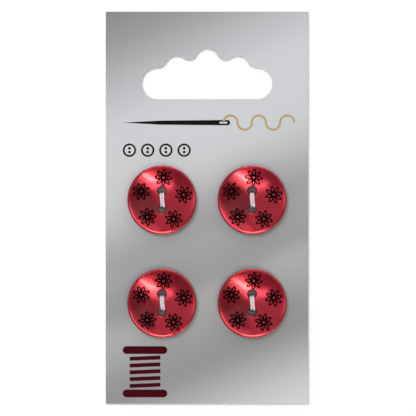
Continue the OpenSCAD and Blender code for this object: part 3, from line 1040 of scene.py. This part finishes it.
def floor_material(stage):
    """White floor that keeps a soft shadow: the camera and mirrors see some of its own light,
    except under the buttons, where needle holes look down on it"""
    own_light = 0.3
    material, tree, shader = principled(
        "White floor", Base_Color=(*stage.floor, 1), Roughness=0.9, Specular_IOR_Level=0.1
    )
    path = add(tree, "ShaderNodeLightPath").outputs
    seen = maths(tree, "ADD", path["Is Camera Ray"], path["Is Glossy Ray"])
    seen = maths(tree, "ADD", seen, path["Is Transmission Ray"])
    seen.node.use_clamp = True
    place = add(tree, "ShaderNodeTexCoord").outputs["Object"]
    spot = add(tree, "ShaderNodeSeparateXYZ", Vector=place).outputs
    low_row, high_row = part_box("button_lower_left")[0].y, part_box("button_upper_left")[1].y
    beside = maths(tree, "COMPARE", spot["X"], 0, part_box("button_upper_right")[1].x)
    along = maths(tree, "COMPARE", spot["Y"], (low_row + high_row) / 2, (high_row - low_row) / 2)
    under = maths(tree, "MULTIPLY", beside, along)
    strength = maths(tree, "MULTIPLY_ADD", under, -own_light, own_light)
    glow = add(tree, "ShaderNodeEmission", Strength=strength)
    dark = add(tree, "ShaderNodeEmission", Strength=0.0)
    switch = add(tree, "ShaderNodeMixShader", Fac=seen)
    both = add(tree, "ShaderNodeAddShader")
    for source, target in (
        (dark, switch.inputs[1]), (glow, switch.inputs[2]), (shader, both.inputs[0]),
        (switch, both.inputs[1]), (both, tree.nodes["Material Output"].inputs["Surface"]),
    ):
        feed(tree, target, source.outputs[0])
    return material


class BUTTONCARD_OT_stage(bpy.types.Operator):
    """Adds the white floor, the soft studio lamps and the camera"""

    bl_idname = "buttoncard.stage"
    bl_label = "Stage"

    def execute(self, context):
        scene = context.scene
        stage = scene.button_card.stage
        deselect()
        bpy.ops.mesh.primitive_plane_add(size=stage.floor_size, location=(0, 0, CAD_BOX[0][2]))
        floor = context.object
        floor.name = floor.data.name = "floor"
        floor.data.materials.append(floor_material(stage))

        scene.world = light_tent(stage)
        sky_lamp(
            "key", azimuth=130, tilt=15, distance=0.8,
            level=30, shape="DISK", size=(0.21, 0.21), mirrored=False,
        )
        high = stage.ceiling
        for name, (x, y), (width, depth), turn, level, tint in PANES:
            place, size = (x * high, y * high, high), (width * high, depth * high)
            lamp(name, place, (0, 0, math.radians(turn)), level, "RECTANGLE", size, True, tint)
        sky_lamp(
            "low_front", azimuth=-93, tilt=81, distance=0.6,
            level=11, shape="RECTANGLE", size=(0.26, 0.14), mirrored=True,
        )

        camera = bpy.data.cameras.new("camera")
        camera.lens = stage.lens
        camera.clip_end = 20
        distance = stage.view_width * stage.lens / camera.sensor_width
        obj = bpy.data.objects.new("camera", camera)
        obj.location = (*CAMERA_PLACE, CARD_HIGH.z + distance)
        scene.collection.objects.link(obj)
        scene.camera = obj
        scene.view_settings.view_transform = "Standard"
        return {"FINISHED"}


class BUTTONCARD_PT_panel(bpy.types.Panel):
    """Steps that dress the card of buttons"""

    bl_idname = "BUTTONCARD_PT_panel"
    bl_label = "Card of buttons"
    bl_space_type = "VIEW_3D"
    bl_region_type = "UI"
    bl_category = "Button card"

    def draw(self, context):
        settings = context.scene.button_card
        for group, operator in (
            ("board", "buttoncard.board"),
            ("button", "buttoncard.buttons"),
            ("daisy", "buttoncard.daisies"),
            ("thread", "buttoncard.threads"),
            ("ink", "buttoncard.inks"),
            ("stage", "buttoncard.stage"),
        ):
            box = self.layout.box()
            values = getattr(settings, group)
            for key in values.__annotations__:
                box.prop(values, key)
            box.operator(operator)


CLASSES = (
    ButtonCardBoard,
    ButtonCardButton,
    ButtonCardDaisy,
    ButtonCardThread,
    ButtonCardInk,
    ButtonCardStage,
    ButtonCardSettings,
    BUTTONCARD_OT_board,
    BUTTONCARD_OT_buttons,
    BUTTONCARD_OT_daisies,
    BUTTONCARD_OT_threads,
    BUTTONCARD_OT_inks,
    BUTTONCARD_OT_stage,
    BUTTONCARD_PT_panel,
)


def register():
    for cls in CLASSES:
        bpy.utils.register_class(cls)
    bpy.types.Scene.button_card = PointerProperty(type=ButtonCardSettings)


def unregister():
    del bpy.types.Scene.button_card
    for cls in reversed(CLASSES):
        bpy.utils.unregister_class(cls)


def main():
    register()
    bpy.ops.buttoncard.board()
    bpy.ops.buttoncard.buttons()
    bpy.ops.buttoncard.daisies()
    bpy.ops.buttoncard.threads()
    bpy.ops.buttoncard.inks()
    bpy.ops.buttoncard.stage()


if __name__ == "__main__":
    main()
